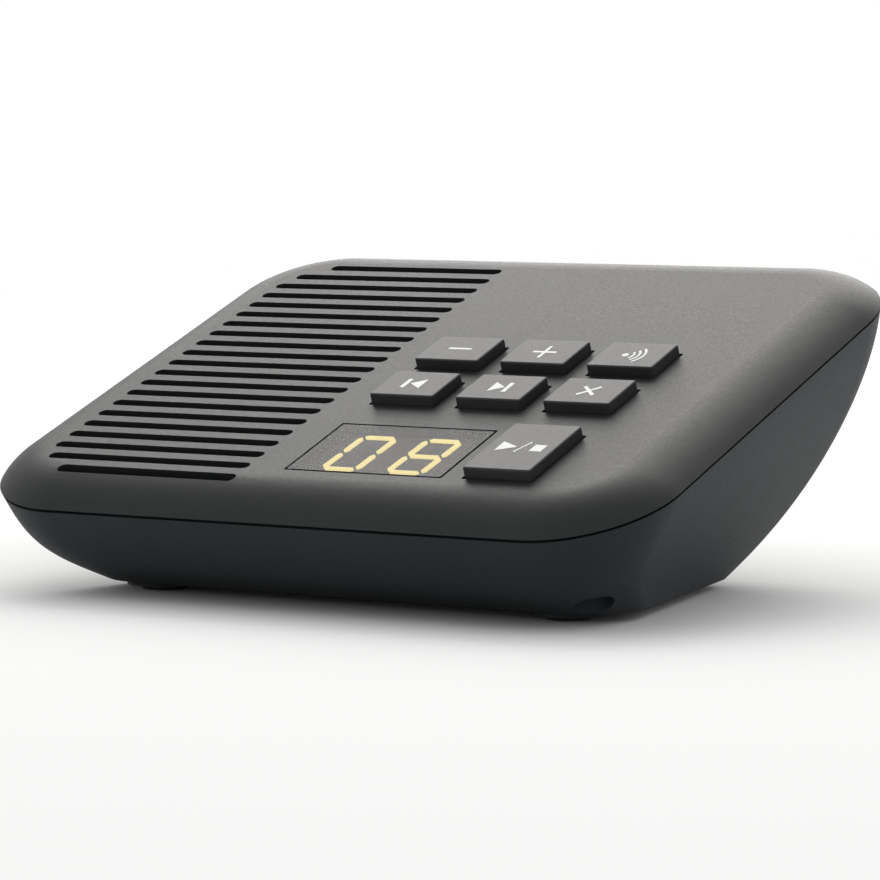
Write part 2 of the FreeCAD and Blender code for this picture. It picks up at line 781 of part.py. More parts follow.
# Keys with their retaining rim and stem, the switch plungers and switch bodies
def key(name, x, y, deep):
    body = new_body("key_" + name, on_deck(x, y))
    depth_below = "size.deck_wall + size.rim_clearance + size.rim_thick"
    cap = sketch_on(body, "cap_" + name, "-(" + depth_below + ")")
    bound_rectangle(cap, "size.key_width", deep, "size.key_corner")
    cap_pad = pad(body, "cap_pad_" + name, cap, depth_below + " + size.key_rise")
    round_face(body, "cap_edge_" + name, cap_pad, S.key_rise, "size.key_edge")
    rim = sketch_on(body, "rim_" + name, "-(" + depth_below + ")")
    bound_rectangle(rim, "size.key_width + 2 * size.key_rim", deep + " + 2 * size.key_rim",
                    "size.rim_corner")
    pad(body, "rim_pad_" + name, rim, "size.rim_thick")
    inside = sketch_on(body, "hollow_" + name, "-(" + depth_below + ")")
    bound_rectangle(inside, "size.key_width - 2 * size.key_shell", deep + " - 2 * size.key_shell",
                    "size.key_corner")
    pocket(body, "hollow_pocket_" + name, inside, depth_below + " + size.key_rise - size.key_shell", reverse=True)
    stem = sketch_on(body, "stem_" + name, "size.key_rise - size.key_shell")
    circles(stem, [(0, 0)], S.stem_radius)
    pad(body, "stem_pad_" + name, stem,
        depth_below + " + size.stem_length + size.key_rise - size.key_shell", reverse=True)
    keep("key_" + name, body)


def switches():
    bodies = []
    stem_end = number("size.deck_wall + size.rim_clearance + size.rim_thick + size.stem_length")
    base = number(BOARD_TOP)
    for name, (x, y, _, _) in PLACES.items():
        plunger = cylinder("plunger_" + name, "size.plunger_radius", "size.plunger_out + size.plunger_in",
                           on_deck(x, y, -stem_end - S.plunger_out - S.plunger_in))
        keep("plunger_" + name, plunger)
        half = S.switch_size / 2
        block = box("switch_block_" + name, "size.switch_size", "size.switch_size", "size.switch_tall",
                    on_deck(x - half, y - half, -base))
        bore = cylinder("switch_bore_" + name, "size.plunger_radius + size.plunger_fit",
                        "size.plunger_in + size.key_travel + 1.3",
                        on_deck(x, y, -base + S.switch_tall - S.plunger_in - S.key_travel - 0.3))
        bodies.append(cut("switch_" + name, block, bore))
    keep("switch_bodies", group("switch_bodies", bodies))


# Printed boards and what they carry
def key_board():
    base = number(BOARD_TOP) + S.board_thick
    body = new_body("key_board", on_deck(lift=-base))
    outline = sketch_on(body, "key_board_outline")
    outline.addGeometry(rectangle(S.key_board_left, S.key_board_right, S.key_board_front,
                                  S.key_board_rear, S.board_corner), False)
    pad(body, "key_board_pad", outline, "size.board_thick")
    holes = sketch_on(body, "key_board_holes", "size.board_thick")
    circles(holes, board_posts(), S.screw_hole)
    pocket(body, "key_board_bores", holes, "size.board_thick + 1")
    keep("key_board", body)


def screw(name, place):
    """A pan-head screw pointing along its own Z axis, the head's seat at its origin."""
    head, shank, tall = S.screw_head, S.screw_radius, S.screw_head_tall
    reach = S.board_thick + S.screw_bite
    socket, sunk = 0.8, 0.7
    profile = [(0, -tall + sunk), (socket, -tall + sunk), (socket, -tall), (head - 0.4, -tall), (head, -tall + 0.4),
               (head, 0), (shank, 0), (shank, reach - 0.4), (0.3, reach)]
    profile.append((0, reach))
    return turned(name, profile, place)


def board_screws():
    base = number(BOARD_TOP) + S.board_thick
    screws = []
    for index, (x, y) in enumerate(board_posts()):
        screws.append(screw("key_board_screw_%d" % index, on_deck(x, y, -base)))
    for index, (x, y) in enumerate(ear_places()):
        place = on_deck(x, y, -number(RETAINER_TOP) - S.retainer_thick)
        screws.append(screw_short("retainer_screw_%d" % index, place))
    keep("board_screws", group("board_screws", screws))
    over = Rotation(Vector(1, 0, 0), 180)
    stands = []
    for index, (x, y) in enumerate(stand_places()):
        place = Placement(Vector(x, y, board_top()), over)
        stands.append(screw_short("main_board_screw_%d" % index, place))
    keep("main_board_screws", group("main_board_screws", stands))


def screw_short(name, place):
    head, shank, tall = S.screw_head, S.screw_radius, S.screw_head_tall
    reach = S.board_thick + S.stand_height + 0.6
    profile = [(0, -tall), (head - 0.4, -tall), (head, -tall + 0.4), (head, 0), (shank, 0), (shank, reach), (0, reach)]
    return turned(name, profile, place)


def housing_screws():
    screws = []
    for side in (-1, 1):
        head, shank, tall = S.closing_head, S.closing_radius, S.closing_head_tall
        reach = S.tower_joint - S.well_seat + S.closing_bite
        profile = [(0, -tall + 1), (1.0, -tall + 1), (1.0, -tall), (head - 0.6, -tall), (head, -tall + 0.6),
                   (head, 0), (shank, 0), (shank, reach - 0.8), (0.4, reach), (0, reach)]
        place = world(side * S.foot_column_rear, S.foot_row_rear, S.well_seat)
        screws.append(turned("housing_screw_%d" % (side + 1), profile, place))
    keep("housing_screws", group("housing_screws", screws))


def main_board():
    bottom = FLOOR_TOP + S.stand_height
    body = new_body("main_board", world(z=bottom))
    outline = sketch_on(body, "main_board_outline")
    outline.addGeometry(rectangle(S.board_left, S.board_right, S.board_front, S.board_rear,
                                  S.board_corner), False)
    pad(body, "main_board_pad", outline, "size.board_thick")
    holes = sketch_on(body, "main_board_holes", "size.board_thick")
    circles(holes, stand_places(), S.screw_hole)
    circles(holes, [(-S.foot_column_rear, S.foot_row_rear)], S.tower_radius + S.tower_clear)
    pocket(body, "main_board_bores", holes, "size.board_thick + 1")
    keep("main_board", body)


def sockets():
    top = board_top()
    left = S.well_left - S.well_wall - 0.1 - S.socket_long
    for name, row in (("line_socket", S.line_row), ("power_socket", S.power_row)):
        block = box(name + "_block", "size.socket_long", "size.socket_wide", "size.socket_tall",
                    world(left, row - S.socket_wide / 2, top))
        middle = top + S.socket_tall / 2
        if name == "line_socket":
            mouth = box(name + "_mouth", "size.plug_long + 1", "size.plug_wide", "size.plug_tall",
                        world(left + S.socket_long - S.plug_long, row - S.plug_wide / 2, middle - S.plug_tall / 2))
            latch = box(name + "_latch", "size.plug_long + 1", "size.plug_wide / 3", "size.plug_tall / 4",
                        world(left + S.socket_long - S.plug_long, row - S.plug_wide / 6,
                              middle - S.plug_tall / 2 - S.plug_tall / 4 + 0.1))
            keep(name, cut(name, block, fuse(name + "_space", [mouth, latch])))
        else:
            turn = Rotation(Vector(0, 1, 0), 90)
            mouth = cylinder(name + "_mouth", "size.barrel_radius", "size.plug_long + 1",
                             Placement(Vector(left + S.socket_long - S.plug_long, row, middle), turn))
            pin = cylinder(name + "_pin", "size.pin_radius", "size.plug_long - 5",
                           Placement(Vector(left + S.socket_long - S.plug_long - 0.5, row, middle), turn))
            keep(name, fuse(name, [cut(name + "_hollow", block, mouth), pin]))


def board_parts():
    top = board_top()
    keep("radio_shield", box("radio_shield", "size.shield_long", "size.shield_wide", "size.shield_tall",
                             world(-37.5, 0, top)))
    chips = [
        box("processor", "10", "10", "1.4", world(-34, -12, top)),
        box("memory", "8", "5", "1.1", world(-22, -14, top)),
        box("driver", "5", "4", "1.1", world(-23.5, -5, top)),
    ]
    keep("chips", group("chips", chips))
    cans = [
        cylinder("capacitor_large", "3.2", "8", world(-15.6, 12, top)),
        cylinder("capacitor_middle", "2.5", "7", world(-15.0, 5, top)),
        cylinder("capacitor_small", "2.0", "6", world(-15.4, -1, top)),
    ]
    keep("capacitors", group("capacitors", cans))
    antennas = []
    for index, y in enumerate((-11.0, 2.0)):
        leg = box("antenna_leg_%d" % index, "size.antenna_thick", "size.antenna_wide", "size.antenna_rise",
                  world(-39.6, y, top))
        arm = box("antenna_arm_%d" % index, "size.antenna_thick", "size.antenna_long", "size.antenna_wide",
                  world(-39.6, y, top + S.antenna_rise))
        antennas.append(fuse("antenna_%d" % index, [leg, arm]))
    keep("antennas", group("antennas", antennas))


def ribbon_cable():
    """A flat cable from the main board up to the underside of the key board."""
    row = -15.6
    thick = S.ribbon_thick
    foot_height = board_top()
    body = new_body("ribbon_cable", world(x=-9.4))
    sketch = sketch_on(body, "ribbon_profile", role="YZ_Plane")
    board_under = DECK.multVec(Vector(0, 0, -number(BOARD_TOP) - S.board_thick))
    slope = SIN / COS

    def under(y):
        return board_under.z + (y - board_under.y) * slope

    high_front, high_rear = row + 2, row + 2 + thick
    bend = 10.0
    points = [
        Vector(row, foot_height, 0), Vector(row + thick, foot_height, 0),
        Vector(row + thick, foot_height + bend - 4, 0), Vector(high_rear, foot_height + bend, 0),
        Vector(high_rear, under(high_rear), 0), Vector(high_front, under(high_front), 0),
        Vector(high_front, foot_height + bend, 0), Vector(row, foot_height + bend - 4, 0),
    ]
    for index, point in enumerate(points):
        sketch.addGeometry(Part.LineSegment(point, points[(index + 1) % len(points)]), False)
    pad(body, "ribbon_pad", sketch, "size.ribbon_wide")
    keep("ribbon_cable", body)


# Loudspeaker, from the grille cloth down to the magnet
def speaker():
    under = S.deck_wall
    cloth = new_body("grille_cloth", on_deck(lift=-under - S.cloth_gap - S.cloth_thick))
    outline = sketch_on(cloth, "cloth_outline")
    half_field = (S.slot_count - 1) * S.slot_pitch / 2 + S.slot_width / 2 + S.cloth_margin
    front, rear = S.grille_middle - half_field, S.grille_middle + half_field
    left, right = S.grille_left - S.cloth_left, S.grille_right + S.cloth_right
    outline.addGeometry(rounded_outline([
        (left, front, S.grille_corner), (right, front, 1.0), (right, rear, 1.0), (left, rear, S.grille_corner),
    ]), False)
    pad(cloth, "cloth_pad", outline, "size.cloth_thick")
    holes = sketch_on(cloth, "cloth_holes", "size.cloth_thick")
    circles(holes, ear_places(), S.post_radius + 0.2)
    deck_row = (S.foot_row_rear - DECK_ROW - S.deck_wall * SIN) / COS
    circles(holes, [(-S.foot_column_rear, deck_row)], S.closing_radius * 2.6 + 0.8)
    pocket(cloth, "cloth_cuts", holes, "size.cloth_thick + 1")
    keep("grille_cloth", cloth)
    place = on_deck(S.speaker_column, S.speaker_row)
    top = -under - S.cloth_gap - S.cloth_thick
    radius = S.speaker_radius
    inner = radius - S.gasket_width
    gasket = [(inner, top), (radius, top), (radius, top - S.gasket_thick), (inner, top - S.gasket_thick)]
    keep("speaker_gasket", turned("speaker_gasket", gasket, place))
    seat = top - S.gasket_thick
    below = seat - S.speaker_flange
    throat, depth, wall = S.basket_bottom, S.basket_depth, S.basket_wall
    frame = [
        (radius, seat), (radius, below), (inner - 0.6, below), (throat + wall + 0.4, below - depth),
        (S.magnet_radius - 1, below - depth), (S.magnet_radius - 1, below - depth - wall),
        (4.8, below - depth - wall), (4.8, below - depth), (throat, below - depth),
        (inner - 2.0, below), (inner - 2.0, seat),
    ]
    basket = turned("speaker_basket", frame, place)
    windows = []
    for index in range(4):
        turn = Placement(Vector(0, 0, 0), Rotation(Vector(0, 0, 1), 90 * index + 45))
        local = world(throat - 1, -4.0, below - depth + 1.0)
        windows.append(box("basket_window_%d" % index, "12", "8", "size.basket_depth - 2.5", place * turn * local))
    keep("speaker_frame", cut("speaker_frame", basket, group("basket_windows", windows)))
    thick = S.cone_thick
    cone = [
        (inner - 0.3, seat), (inner - 0.3, seat + thick), (inner - 2.2, seat + thick),
        (5.0, below - depth + 2.0 + thick), (4.2, below - depth + 2.0 + thick),
        (4.2, below - depth + 2.0), (5.0, below - depth + 2.0), (inner - 2.4, seat),
    ]
    keep("speaker_cone", turned("speaker_cone", cone, place))
    dome_base = below - depth + 2.0 + thick
    dome = [(5.0, dome_base), (5.0, dome_base + 0.4), (3.4, dome_base + 1.7), (1.6, dome_base + 2.4),
            (0, dome_base + 2.6), (0, dome_base + 2.2), (1.5, dome_base + 2.0), (3.2, dome_base + 1.3),
            (4.4, dome_base)]
    keep("dust_cap", turned("dust_cap", dome, place))
    coil = [(3.2, dome_base), (4.2, dome_base), (4.2, below - depth - 2), (3.2, below - depth - 2)]
    keep("voice_coil", turned("voice_coil", coil, place))
    magnet_top = below - depth - wall
    hole = [(0, magnet_top - S.magnet_tall), (S.magnet_radius - 0.4, magnet_top - S.magnet_tall),
            (S.magnet_radius, magnet_top - S.magnet_tall + 0.4), (S.magnet_radius, magnet_top),
            (4.6, magnet_top), (4.6, magnet_top - 2.5), (2.8, magnet_top - 2.5), (2.8, magnet_top),
            (0, magnet_top)]
    keep("speaker_magnet", turned("speaker_magnet", hole, place))
    ring = new_body("speaker_retainer", on_deck(lift=below - S.retainer_thick))
    outline = sketch_on(ring, "retainer_outline")
    centre = [(S.speaker_column, S.speaker_row)]
    circles(outline, centre, radius + 1.0)
    circles(outline, centre, inner - 0.6)
    pad(ring, "retainer_ring", outline, "size.retainer_thick")
    ears = sketch_on(ring, "retainer_ears")
    circles(ears, ear_places(), S.ear_radius)
    pad(ring, "retainer_ear_pads", ears, "size.retainer_thick")
    holes = sketch_on(ring, "retainer_holes", "size.retainer_thick")
    circles(holes, ear_places(), S.screw_hole)
    pocket(ring, "retainer_bores", holes, "size.retainer_thick + 1")
    keep("speaker_retainer", ring)


def build():
    upper_shell()
    lower_shell()
    feet()
    display()
    for name, (x, y, _, deep) in PLACES.items():
        key(name, x, y, deep)
    switches()
    key_board()
    main_board()
    board_screws()
    housing_screws()
    sockets()
    board_parts()
    ribbon_cable()
    speaker()
    doc.recompute()


def check():
    for thing in doc.Objects:
        if {"Invalid", "Error"} & set(thing.State):
            raise RuntimeError("%s failed: %s" % (thing.Name, thing.State))
    for node, thing in NODES.items():
        shape = thing.Shape
        if shape.isNull() or not shape.isValid() or not shape.Solids:
            raise RuntimeError("%s has no valid solid" % node)


build()
check()
os.makedirs("parts", exist_ok=True)
for node, thing in NODES.items():
    thing.Shape.exportStep(os.path.join("parts", node + ".step"))
    print("%-22s solids %2d volume %10.1f" % (node, len(thing.Shape.Solids), thing.Shape.Volume))
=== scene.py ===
import math

import bmesh
import bpy
from mathutils import Matrix, Vector


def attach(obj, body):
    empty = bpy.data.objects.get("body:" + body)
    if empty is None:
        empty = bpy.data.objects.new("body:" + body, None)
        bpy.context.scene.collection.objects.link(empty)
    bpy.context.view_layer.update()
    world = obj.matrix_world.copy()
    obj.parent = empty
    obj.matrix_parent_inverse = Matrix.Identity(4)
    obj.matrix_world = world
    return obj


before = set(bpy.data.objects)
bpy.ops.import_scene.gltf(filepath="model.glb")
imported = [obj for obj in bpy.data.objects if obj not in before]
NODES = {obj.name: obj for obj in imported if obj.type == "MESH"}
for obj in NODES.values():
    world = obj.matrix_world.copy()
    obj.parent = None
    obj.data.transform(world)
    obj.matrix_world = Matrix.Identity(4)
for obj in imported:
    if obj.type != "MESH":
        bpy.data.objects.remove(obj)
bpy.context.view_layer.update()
MM = 0.001

# The sloping deck: its tilt, where its own frame starts in millimetres, and the turn into that frame
TILT = math.radians(21.0)
DECK_ROW = -3.001
DECK_HEIGHT = 38.5
DECK = Matrix.Translation(Vector((0, DECK_ROW, DECK_HEIGHT)) * MM) @ Matrix.Rotation(TILT, 4, "X")
DECK_NORMAL = (0, -math.sin(TILT), math.cos(TILT))
INTO_DECK = (-TILT, 0, 0)

# The middle of each key's top on the deck, in millimetres
KEY_TOP = 1.9
LEFT, MIDDLE, RIGHT = 3.0, 20.3, 37.6
BACK_ROW, MIDDLE_ROW, FRONT_ROW = 4.2, -10.6, -32.8
KEY_PLACES = {
    "minus": (LEFT, BACK_ROW), "plus": (MIDDLE, BACK_ROW), "paging": (RIGHT, BACK_ROW),
    "previous": (LEFT, MIDDLE_ROW), "next": (MIDDLE, MIDDLE_ROW), "delete": (RIGHT, MIDDLE_ROW),
    "play_stop": (RIGHT, FRONT_ROW),
}
FEET = ("foot_front_left", "foot_front_right", "foot_rear_left", "foot_rear_right")

# Camera, fitted to the straight lines of the photograph: metres, degrees, and a lens in millimetres
CAMERA_PLACE = (0.40554, -0.61683, 0.08190)
CAMERA_PITCH = 85.656
CAMERA_HEADING = 33.379
CAMERA_LENS = 175.12
CAMERA_SENSOR = 36.0
CAMERA_NEAR, CAMERA_FAR = 0.05, 50.0

# Studio: a white floor with a painted contact shade, white surroundings, and one broad disk lamp behind
# the object, in metres and watts
FLOOR_SIZE = 6.0
FLOOR_DROP = 0.0001
FLOOR_COLOUR = (0.95, 0.95, 0.945)
# Share of the floor seen by the camera near the object that is painted contact shade, and the distances
# over which it grows to all of the floor
PAINTED_SHADE_SHARE = 0.6
WHITE_FROM, WHITE_TO = 0.35, 1.2
# How far the floor's painted contact shade reaches from the object
PAINTED_SHADE_REACH = 0.07
WHITE = (1, 1, 1, 1)
AMBIENT = 0.5
LAMP_PLACE = (-0.34, 0.74, 0.72)
LAMP_TARGET = (0, 0, 0.03)
LAMP_SIZE = 1.1
LAMP_POWER = 12.8
LAMP_COLOUR = (1.0, 0.97, 0.945)

# Sockets of a Mix node of colours, and the length at which a Wave texture of scale 1 repeats
MIX_FACTOR, MIX_FROM, MIX_TO, MIX_RESULT = 0, 6, 7, 2
WAVE_LENGTH = 0.314

# Print on the keys, in millimetres
PRINT_THICK = 0.03
PRINT_SUNK = 0.01
PRINT_STEP = 0.002
STROKE = 0.62
FINE_STROKE = 0.42
SLASH = 0.34
POST = 0.85
DISC_STEPS, ARC_STEPS = 32, 24


# Materials
class Graph:
    """Short calls that add nodes to a tree and join them."""

    def __init__(self, tree):
        self.tree = tree

    def add(self, kind, **values):
        node = self.tree.nodes.new(kind)
        for key, value in values.items():
            setattr(node, key, value)
        return node

    def link(self, source, target):
        self.tree.links.new(source, target)

    def spread(self, factor, low, high, start=0.3, end=0.7):
        """Goes from low to high while the factor goes from start to end."""
        node = self.add("ShaderNodeMapRange")
        for socket, value in zip(("From Min", "From Max", "To Min", "To Max"), (start, end, low, high)):
            node.inputs[socket].default_value = value
        self.link(factor, node.inputs["Value"])
        return node.outputs["Result"]

    def combine(self, first, second, operation="MULTIPLY"):
        node = self.add("ShaderNodeMath", operation=operation)
        self.link(first, node.inputs[0])
        self.link(second, node.inputs[1])
        return node.outputs[0]

    def mixed(self, factor, first, second):
        """The first shader where the factor is zero, and the second where it is one."""
        node = self.add("ShaderNodeMixShader")
        for socket, source in enumerate((factor, first, second)):
            self.link(source, node.inputs[socket])
        return node.outputs[0]

    def white_and_painted_shade_rays(self):
        """One for camera, gloss and transmission rays, which see plain white in the world and painted
        contact shade on the floor.
        """
        path = self.add("ShaderNodeLightPath")
        total = path.outputs["Is Camera Ray"]
        for extra in ("Is Glossy Ray", "Is Transmission Ray"):
            total = self.combine(total, path.outputs[extra], "MAXIMUM")
        return total


class Finish(Graph):
    """A material round one Principled shader, textured in the part's own coordinates."""

    def __init__(self, name, colour, roughness, metallic=0.0, specular=0.5):
        self.material = bpy.data.materials.new(name)
        self.material.use_nodes = True
        super().__init__(self.material.node_tree)
        self.shader = self.tree.nodes["Principled BSDF"]
        self.colour = colour
        self.set("Base Color", (*colour, 1))
        self.set("Roughness", roughness)
        self.set("Metallic", metallic)
        self.set("Specular IOR Level", specular)
        self.place = self.add("ShaderNodeTexCoord").outputs["Object"]

    def set(self, socket, value):
        self.shader.inputs[socket].default_value = value

    def mapped(self, scale=(1, 1, 1), turn=(0, 0, 0)):
        node = self.add("ShaderNodeMapping")
        node.inputs["Scale"].default_value = scale
        node.inputs["Rotation"].default_value = turn
        self.link(self.place, node.inputs["Vector"])
        return node.outputs["Vector"]

    def noise(self, size, detail=2, place=None):
        """Noise whose features are about this many millimetres across."""
        node = self.add("ShaderNodeTexNoise")
        node.inputs["Scale"].default_value = 1 / (size * MM)
        node.inputs["Detail"].default_value = detail
        self.link(place or self.place, node.inputs["Vector"])
        return node.outputs["Fac"]

    def cells(self, size, feature="F1"):
        node = self.add("ShaderNodeTexVoronoi", feature=feature)
        node.inputs["Scale"].default_value = 1 / (size * MM)
        self.link(self.place, node.inputs["Vector"])
        return node.outputs["Distance"]

    def stripes(self, size, axis, place=None):
        node = self.add("ShaderNodeTexWave", bands_direction=axis)
        node.inputs["Scale"].default_value = WAVE_LENGTH / (size * MM)
        self.link(place or self.place, node.inputs["Vector"])
        return node.outputs["Fac"]

    def tint(self, factor, other):
        """The colour runs from the material's own to this one with the factor."""
        node = self.add("ShaderNodeMix", data_type="RGBA")
        node.inputs[MIX_FROM].default_value = (*self.colour, 1)
        node.inputs[MIX_TO].default_value = (*other, 1)
        self.link(factor, node.inputs[MIX_FACTOR])
        self.link(node.outputs[MIX_RESULT], self.shader.inputs["Base Color"])

    def mottle(self, pattern, other):
        """The colour drifts towards this one where the pattern is strong."""
        self.tint(self.spread(pattern, low=0, high=1), other)

    def rough(self, pattern, low, high):
        self.link(self.spread(pattern, low, high), self.shader.inputs["Roughness"])

    def bump(self, height, depth):
        """Relief this many millimetres deep."""
        node = self.add("ShaderNodeBump")
        node.inputs["Distance"].default_value = depth * MM
        self.link(height, node.inputs["Height"])
        self.link(node.outputs["Normal"], self.shader.inputs["Normal"])


def shade(colour, share):
    return tuple(value * share for value in colour)


def grained(name, colour, roughness, grain, depth, specular):
    """Moulded plastic with a spark-eroded grain and a faint uneven tone."""
    finish = Finish(name, colour, roughness, specular=specular)
    finish.mottle(finish.noise(size=9, detail=3), shade(colour, 1.15))
    finish.rough(finish.noise(size=grain * 2), low=roughness - 0.03, high=roughness + 0.05)
    finish.bump(finish.noise(size=grain, detail=3), depth)
    return finish.material


def smooth_plastic(name, colour, roughness):
    finish = Finish(name, colour, roughness)
    finish.mottle(finish.noise(size=4), shade(colour, 1.15))
    finish.rough(finish.noise(size=1.2), low=roughness - 0.04, high=roughness + 0.06)
    finish.bump(finish.noise(size=0.8), depth=0.004)
    return finish.material


def bare_metal(name, colour, roughness, turn=(0, 0, 0)):
    """Plated or drawn metal with fine lines along one direction."""
    finish = Finish(name, colour, roughness, metallic=1.0)
    lines = finish.noise(size=0.25, detail=3, place=finish.mapped((0.08, 1, 1), turn))
    finish.mottle(lines, shade(colour, 0.8))
    finish.rough(lines, low=roughness - 0.06, high=roughness + 0.12)
    finish.bump(lines, depth=0.003)
    return finish.material


def window_lens():
    """Smoked lens whose top face half lets through what glows behind it, with black cut edges."""
    finish = Finish("smoked_lens", (0.02, 0.021, 0.0205), roughness=0.5, specular=0.34)
    geometry = finish.add("ShaderNodeNewGeometry")
    facing = finish.add("ShaderNodeVectorMath", operation="DOT_PRODUCT")
    facing.inputs[1].default_value = DECK_NORMAL
    finish.link(geometry.outputs["Normal"], facing.inputs[0])
    flatness = finish.add("ShaderNodeMath", operation="ABSOLUTE")
    finish.link(facing.outputs["Value"], flatness.inputs[0])
    edge = finish.spread(flatness.outputs[0], low=1, high=0, start=0.4, end=0.6)
    finish.tint(edge, (0.001, 0.001, 0.001))
    outside = finish.spread(geometry.outputs["Backfacing"], low=1, high=0, start=0, end=1)
    opacity = finish.spread(edge, low=0.74, high=1, start=0, end=1)
    finish.link(finish.combine(opacity, outside), finish.shader.inputs["Alpha"])
    finish.rough(finish.noise(size=0.6), low=0.47, high=0.54)
    finish.bump(finish.noise(size=0.3), depth=0.001)
    return finish.material


def lit_segments():
    finish = Finish("lit_segments", (0.9, 0.8, 0.5), roughness=0.5)
    finish.mottle(finish.noise(size=0.5), (0.95, 0.86, 0.6))
    finish.set("Emission Color", (1.0, 0.82, 0.26, 1))
    finish.set("Emission Strength", 2.4)
    return finish.material


def woven_cloth():
    finish = Finish("speaker_cloth", (0.006, 0.006, 0.0065), roughness=0.9)
    turned = finish.mapped(turn=INTO_DECK)
    threads = [finish.stripes(size=0.6, axis=axis, place=turned) for axis in "XY"]
    weave = finish.combine(*threads)
    finish.tint(weave, (0.02, 0.02, 0.021))
    finish.rough(weave, low=0.8, high=0.95)
    finish.bump(weave, depth=0.06)
    return finish.material


def solder_resist():
    """Green board lacquer with copper tracks showing through as paler lines."""
    finish = Finish("solder_resist", (0.012, 0.075, 0.032), roughness=0.35)
    cells = finish.cells(size=3.2, feature="DISTANCE_TO_EDGE")
    tracks = finish.spread(cells, low=1, high=0, start=0.03, end=0.07)
    finish.tint(tracks, (0.03, 0.15, 0.06))
    finish.rough(finish.noise(size=0.5), low=0.3, high=0.42)
    finish.bump(tracks, depth=0.03)
    return finish.material


def flat_cable():
    finish = Finish("flat_cable", (0.5, 0.5, 0.48), roughness=0.55)
    ridges = finish.stripes(size=1.27, axis="X")
    # Painted shade: darker grey in the grooves between the ridges, where the relief is lowest
    finish.tint(finish.spread(ridges, low=1, high=0, start=0.05, end=0.3), (0.3, 0.3, 0.29))
    finish.rough(finish.noise(size=0.8), low=0.5, high=0.62)
    finish.bump(ridges, depth=0.25)
    return finish.material


def cone_paper():
    finish = Finish("cone_paper", (0.03, 0.03, 0.031), roughness=0.85)
    fibres = finish.noise(size=0.35, detail=4)
    finish.mottle(fibres, (0.06, 0.058, 0.055))
    finish.rough(fibres, low=0.78, high=0.92)
    finish.bump(fibres, depth=0.04)
    return finish.material


def open_foam():
    finish = Finish("open_foam", (0.012, 0.012, 0.012), roughness=0.95)
    pores = finish.cells(size=0.5)
    finish.tint(finish.spread(pores, low=1, high=0, start=0.1, end=0.5), (0.03, 0.03, 0.03))
    finish.rough(pores, low=0.85, high=0.98)
    finish.bump(pores, depth=0.15)
    return finish.material


def ferrite():
    finish = Finish("ferrite", (0.045, 0.045, 0.048), roughness=0.6)
    grains = finish.noise(size=0.6, detail=5)
    finish.mottle(grains, (0.09, 0.09, 0.095))
    finish.rough(grains, low=0.5, high=0.7)
    finish.bump(grains, depth=0.03)
    return finish.material


def wound_copper():
    finish = Finish("wound_copper", (0.75, 0.32, 0.14), roughness=0.35, metallic=1.0)
    turns = finish.stripes(size=0.25, axis="Z", place=finish.mapped(turn=INTO_DECK))
    # Painted shade: darker copper in the gaps between the turns, where the relief is lowest
    finish.tint(finish.spread(turns, low=1, high=0, start=0.1, end=0.5), (0.35, 0.12, 0.05))
    finish.rough(turns, low=0.3, high=0.45)
    finish.bump(turns, depth=0.08)
    return finish.material


def soft_rubber():
    finish = Finish("soft_rubber", (0.035, 0.036, 0.037), roughness=0.8, specular=0.3)
    finish.mottle(finish.noise(size=1.5, detail=3), (0.055, 0.055, 0.056))
    finish.rough(finish.noise(size=0.4), low=0.72, high=0.9)
    finish.bump(finish.noise(size=0.25, detail=3), depth=0.012)
    return finish.material


def print_ink():
    finish = Finish("white_print", (0.86, 0.87, 0.87), roughness=0.5)
    finish.mottle(finish.noise(size=0.4), (0.78, 0.79, 0.79))
    finish.rough(finish.noise(size=0.3), low=0.45, high=0.6)
    finish.bump(finish.noise(size=0.2), depth=0.003)
    return finish.material


def outer_plastics():
    """The shells, keys and display module, whose tones were set beside the photograph."""
    upper = grained("upper_grain", (0.0125, 0.0147, 0.0142),
                    roughness=0.52, grain=0.26, depth=0.013, specular=0.27)
    lower = grained("lower_grain", (0.0162, 0.0203, 0.0238),
                    roughness=0.55, grain=0.26, depth=0.012, specular=0.22)
    caps = grained("key_grain", (0.023, 0.0237, 0.0242),
                   roughness=0.5, grain=0.18, depth=0.006, specular=0.33)
    module = grained("module_plastic", (0.015, 0.0155, 0.015),
                     roughness=0.5, grain=0.24, depth=0.004, specular=0.27)
    plastics = {"upper_shell": upper, "lower_shell": lower, "display_module": module}
    plastics.update({"key_" + key: caps for key in KEY_PLACES})
    return plastics


